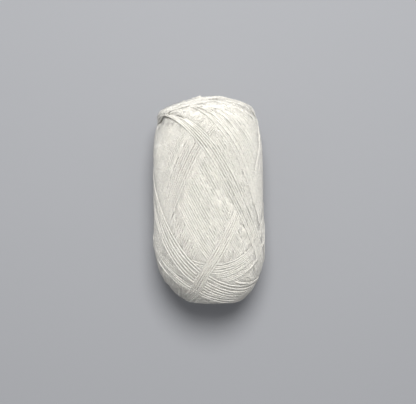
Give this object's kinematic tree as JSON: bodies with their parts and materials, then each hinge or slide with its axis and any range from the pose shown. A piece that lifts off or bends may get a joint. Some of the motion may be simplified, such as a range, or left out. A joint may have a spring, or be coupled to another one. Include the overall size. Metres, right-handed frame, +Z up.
{
  "type": "pull skein of wool yarn",
  "caption": "Off-white wool yarn wound into a soft barrel that lies on its side: slanting turns cross in broad bands, and each end has a small hollow.",
  "frame": {"origin": "on the surface that the skein lies on, under the middle of its outline from above", "axes": "+Y along the skein, towards the end that is uppermost in the picture; +X to its right; +Z up"},
  "size_m": [0.0716, 0.1282, 0.0621],
  "materials": {
    "wool_yarn": "undyed plied wool, matt and slightly hairy"
  },
  "bodies": {
    "root": {"yarn_skein": "wool_yarn"}
  },
  "joints": []
}
